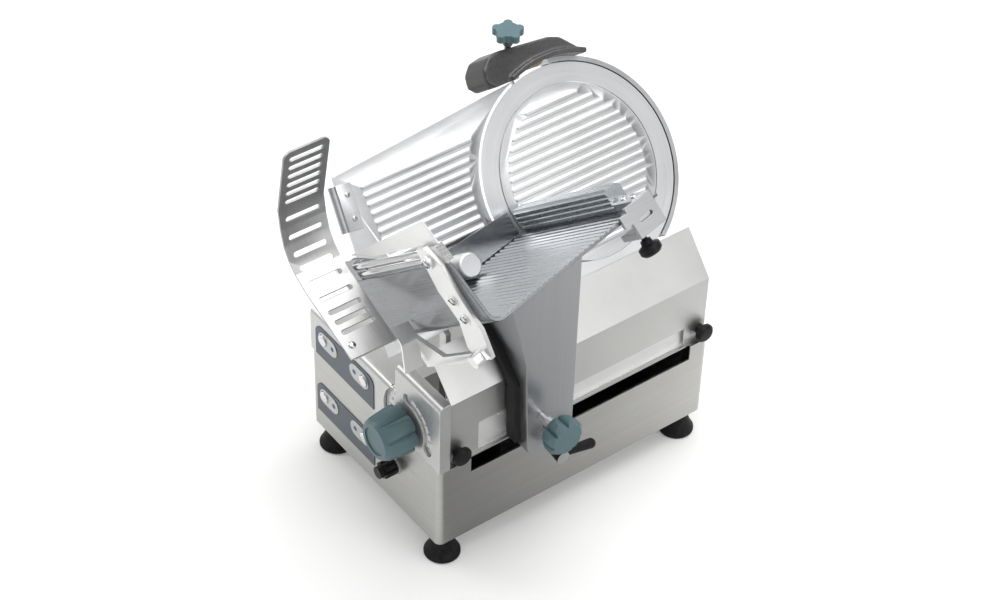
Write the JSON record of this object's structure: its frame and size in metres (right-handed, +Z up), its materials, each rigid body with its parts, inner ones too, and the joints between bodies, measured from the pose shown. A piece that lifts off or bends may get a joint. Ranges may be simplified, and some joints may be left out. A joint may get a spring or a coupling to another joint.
{
  "type": "gravity meat slicer",
  "caption": "Electric bench meat slicer with a leaning round blade, ribbed gauge plate and blade cover, sloping product tray on a powered carriage and a slotted hand guard.",
  "frame": {"origin": "on the bench under the middle of the base, in the plane of the four feet", "axes": "+Z up, +Y away from the operator along the carriage's travel, +X towards the carriage arm"},
  "size_m": [0.4515, 0.626, 0.693],
  "materials": {
    "stainless": "brushed stainless steel",
    "cover_sheet": "pale satin stainless sheet",
    "inner_sheet": "satin stainless sheet",
    "ground_steel": "ground and polished steel",
    "blade_steel": "finely ground hard chromed steel",
    "cast_aluminium": "anodised, satin",
    "dark_casting": "dark grey enamel, semi gloss",
    "motor_metal": "grey enamel",
    "teal_plastic": "matt blue-green nylon",
    "black_plastic": "matt black nylon",
    "button_metal": "bright metal",
    "dial_white": "white with printed numbers",
    "keypad_film": "dark blue-grey film",
    "trim_grey": "light grey satin",
    "lamp_blue": "deep blue lens",
    "foot_rubber": "black rubber",
    "belt_rubber": "black rubber",
    "seal_black": "black rubber",
    "box_grey": "grey powder coat",
    "stone": "bonded abrasive"
  },
  "bodies": {
    "base": {"base_shell": "stainless", "bottom_plate": "stainless", "feet": "foot_rubber", "cable_gland": "black_plastic", "front_housing": "cast_aluminium", "dial_box": "cast_aluminium", "keypads": "keypad_film", "panel_trim": "trim_grey", "indicator_lights": "lamp_blue", "side_cover": "cover_sheet", "shield_plate": "inner_sheet", "head_casting": "cast_aluminium", "blade_axle": "ground_steel", "blade_bearings": "ground_steel", "blade_cover": "cast_aluminium", "slice_deflector": "inner_sheet", "blade_motor": "motor_metal", "blade_belt": "belt_rubber", "guide_rods": "ground_steel", "guide_supports": "cast_aluminium", "drive_motor": "motor_metal", "drive_belt": "belt_rubber", "control_box": "box_grey"},
    "blade_wheel": {"blade": "blade_steel", "blade_hub": "cast_aluminium"},
    "motor_wheel": {"motor_pulley": "ground_steel"},
    "gauge": {"gauge_plate": "cast_aluminium", "gauge_end_plate": "trim_grey"},
    "thickness_dial": {"thickness_knob": "teal_plastic", "thickness_shaft": "ground_steel", "dial_disc": "dial_white"},
    "mode_switch": {"mode_knob": "black_plastic"},
    "push_upper_left": {"button_upper_left": "button_metal"},
    "push_upper_right": {"button_upper_right": "button_metal"},
    "push_lower_left": {"button_lower_left": "button_metal"},
    "push_lower_right": {"button_lower_right": "button_metal"},
    "front_cover_screw": {"cover_knob_front": "black_plastic"},
    "rear_cover_screw": {"cover_knob_rear": "black_plastic"},
    "disc_tie": {"tie_knob": "black_plastic"},
    "sharpener": {"sharpener_cover": "dark_casting", "sharpener_stones": "stone"},
    "sharpener_screw": {"sharpener_knob": "teal_plastic"},
    "carriage": {"carriage_foot": "cast_aluminium", "carriage_arm": "cast_aluminium", "arm_seal": "seal_black", "product_tray": "cast_aluminium", "side_wing": "cover_sheet", "press_rails": "ground_steel", "link_bracket": "cast_aluminium", "guard_bar": "cast_aluminium", "hand_guard": "inner_sheet"},
    "arm_screw": {"star_knob": "teal_plastic"},
    "drive_lever": {"clamp_lever": "black_plastic"},
    "drive_wheel": {"drive_pulley": "ground_steel"},
    "idle_wheel": {"idle_pulley": "ground_steel"},
    "pusher": {"press_plate": "inner_sheet", "press_knob": "cast_aluminium"},
    "fence_slide": {"fence": "cast_aluminium", "fence_clamp": "inner_sheet"},
    "fence_screw": {"fence_knob": "black_plastic"}
  },
  "joints": [
    {"name": "blade_spin", "type": "hinge", "parent": "base", "child": "blade_wheel", "pos_m": [0.00198, 0.103, 0.44738], "axis": [0.7547, 0, 0.6561], "continuous": true},
    {"name": "motor_spin", "type": "hinge", "parent": "base", "child": "motor_wheel", "pos_m": [0.09821, 0.103, 0.27265], "axis": [0.7547, 0, 0.6561], "continuous": true},
    {"name": "gauge_travel", "type": "slide", "parent": "base", "child": "gauge", "axis": [-0.7547, 0, -0.6561], "range_m": [0, 0.015]},
    {"name": "thickness_turn", "type": "hinge", "parent": "base", "child": "thickness_dial", "pos_m": [0.08, -0.235, 0.219], "axis": [0, -1, 0], "range_deg": [0, 320]},
    {"name": "mode_turn", "type": "hinge", "parent": "base", "child": "mode_switch", "pos_m": [0.049, -0.235, 0.118], "axis": [0, -1, 0], "range_deg": [-45, 45]},
    {"name": "press_upper_left", "type": "slide", "parent": "base", "child": "push_upper_left", "axis": [0, 1, 0], "range_m": [0, 0.0025], "stiffness_N_per_m": 400, "springref_m": -0.001},
    {"name": "press_upper_right", "type": "slide", "parent": "base", "child": "push_upper_right", "axis": [0, 1, 0], "range_m": [0, 0.0025], "stiffness_N_per_m": 400, "springref_m": -0.001},
    {"name": "press_lower_left", "type": "slide", "parent": "base", "child": "push_lower_left", "axis": [0, 1, 0], "range_m": [0, 0.0025], "stiffness_N_per_m": 400, "springref_m": -0.001},
    {"name": "press_lower_right", "type": "slide", "parent": "base", "child": "push_lower_right", "axis": [0, 1, 0], "range_m": [0, 0.0025], "stiffness_N_per_m": 400, "springref_m": -0.001},
    {"name": "front_cover_turn", "type": "hinge", "parent": "base", "child": "front_cover_screw", "pos_m": [0.146, -0.2, 0.203], "axis": [1, 0, 0], "range_deg": [0, 360]},
    {"name": "rear_cover_turn", "type": "hinge", "parent": "base", "child": "rear_cover_screw", "pos_m": [0.146, 0.222, 0.203], "axis": [1, 0, 0], "range_deg": [0, 360]},
    {"name": "disc_tie_turn", "type": "hinge", "parent": "base", "child": "disc_tie", "pos_m": [-0.05538, 0.103, 0.39752], "axis": [-0.7547, 0, -0.6561], "range_deg": [0, 360]},
    {"name": "sharpener_lift", "type": "slide", "parent": "base", "child": "sharpener", "axis": [-0.6561, 0, 0.7547], "range_m": [0, 0.02]},
    {"name": "sharpener_turn", "type": "hinge", "parent": "sharpener", "child": "sharpener_screw", "pos_m": [-0.10863, 0.061, 0.599], "axis": [0, 0, 1], "range_deg": [0, 360]},
    {"name": "carriage_travel", "type": "slide", "parent": "base", "child": "carriage", "axis": [0, 1, 0], "range_m": [-0.065, 0.23]},
    {"name": "arm_screw_turn", "type": "hinge", "parent": "carriage", "child": "arm_screw", "pos_m": [0.182, -0.088, 0.237], "axis": [1, 0, 0], "range_deg": [0, 360]},
    {"name": "drive_lever_turn", "type": "hinge", "parent": "carriage", "child": "drive_lever", "pos_m": [0.182, -0.075, 0.177], "axis": [1, 0, 0], "range_deg": [-10, 90]},
    {"name": "drive_spin", "type": "hinge", "parent": "base", "child": "drive_wheel", "pos_m": [0.026, 0.1925, 0.108], "axis": [1, 0, 0], "continuous": true},
    {"name": "idle_spin", "type": "hinge", "parent": "base", "child": "idle_wheel", "pos_m": [0.026, -0.1925, 0.108], "axis": [1, 0, 0], "continuous": true},
    {"name": "pusher_travel", "type": "slide", "parent": "carriage", "child": "pusher", "axis": [0.7547, 0, 0.6561], "range_m": [0, 0.2]},
    {"name": "fence_travel", "type": "slide", "parent": "carriage", "child": "fence_slide", "axis": [-0.1364, 0.9781, 0.1569], "range_m": [-0.085, 0]},
    {"name": "fence_screw_turn", "type": "hinge", "parent": "fence_slide", "child": "fence_screw", "pos_m": [0.27164, -0.01195, 0.57311], "axis": [0.6417, 0.2079, -0.7382], "range_deg": [0, 360]}
  ],
  "couplings": [
    {"joint": "motor_spin", "follows": "blade_spin", "ratio": 2.3636},
    {"joint": "thickness_turn", "follows": "gauge_travel", "rad_per_m": 360},
    {"joint": "drive_spin", "follows": "carriage_travel", "rad_per_m": -51.151},
    {"joint": "idle_spin", "follows": "carriage_travel", "rad_per_m": -51.151}
  ]
}
